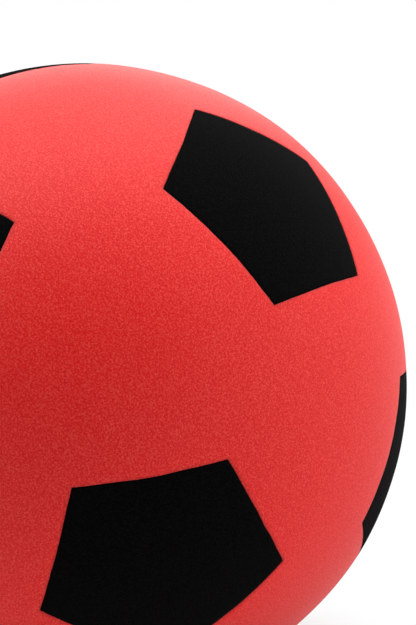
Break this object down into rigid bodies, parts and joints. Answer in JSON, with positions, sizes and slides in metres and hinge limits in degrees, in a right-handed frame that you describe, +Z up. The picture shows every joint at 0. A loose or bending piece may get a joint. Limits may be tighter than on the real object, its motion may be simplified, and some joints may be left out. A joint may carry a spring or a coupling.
{
  "type": "foam soccer ball",
  "caption": "Round red foam play ball with flush black foam pentagons inlaid in the classic football layout.",
  "frame": {"origin": "middle of the flat patch that the ball rests on, under the ball's centre", "axes": "+Z up, through the middles of bottom_pentagon and top_pentagon; +X towards upper_pentagon_1"},
  "size_m": [0.1998, 0.1998, 0.1995],
  "materials": {
    "red_foam": "matt, fine open-cell polyurethane foam",
    "black_foam": "matt, fine open-cell polyurethane foam"
  },
  "bodies": {
    "root": {"foam_body": "red_foam", "top_pentagon": "black_foam", "upper_pentagon_1": "black_foam", "upper_pentagon_2": "black_foam", "upper_pentagon_3": "black_foam", "upper_pentagon_4": "black_foam", "upper_pentagon_5": "black_foam", "lower_pentagon_1": "black_foam", "lower_pentagon_2": "black_foam", "lower_pentagon_3": "black_foam", "lower_pentagon_4": "black_foam", "lower_pentagon_5": "black_foam", "bottom_pentagon": "black_foam"}
  },
  "joints": []
}
